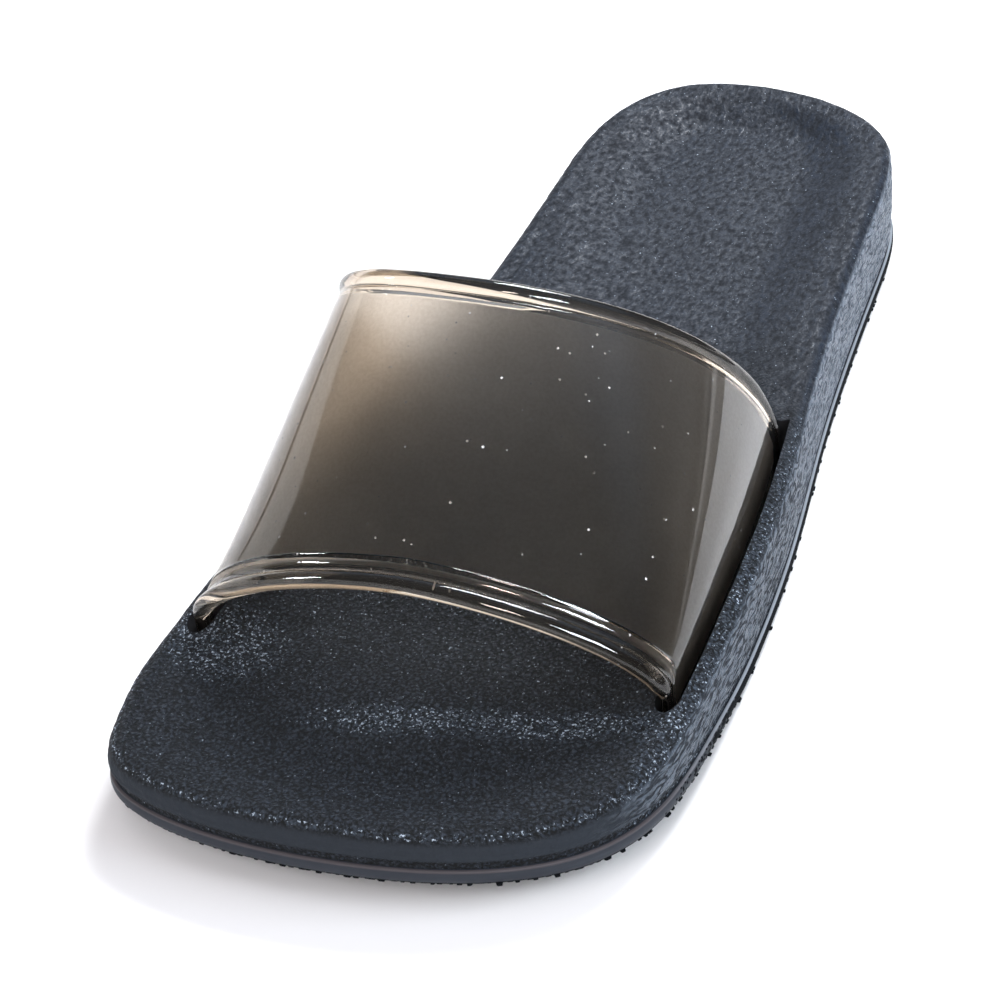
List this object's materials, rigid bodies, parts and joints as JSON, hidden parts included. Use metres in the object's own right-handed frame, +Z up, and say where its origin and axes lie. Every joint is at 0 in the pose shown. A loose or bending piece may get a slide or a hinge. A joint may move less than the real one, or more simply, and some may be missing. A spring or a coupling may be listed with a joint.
{
  "type": "spa sandal",
  "caption": "Slip-on spa sandal with a dished pebble-grained foam sole and a clear smoky beaded strap arched over the instep.",
  "frame": {"origin": "on the floor, at the middle of the sole's length and width", "axes": "+Z up, toe towards -Y, heel towards +Y, outer (lateral) side of the left foot towards +X"},
  "size_m": [0.1074, 0.27, 0.0752],
  "materials": {
    "sole_foam": "matt closed-cell foam with a pebbled grain, dark slate blue",
    "outsole_foam": "smooth dense foam, dark slate blue",
    "strap_plastic": "clear smoky brown-grey soft plastic, glossy outside and slightly frosted inside"
  },
  "bodies": {
    "root": {"midsole_footbed": "sole_foam", "outsole": "outsole_foam", "strap": "strap_plastic"}
  },
  "joints": []
}
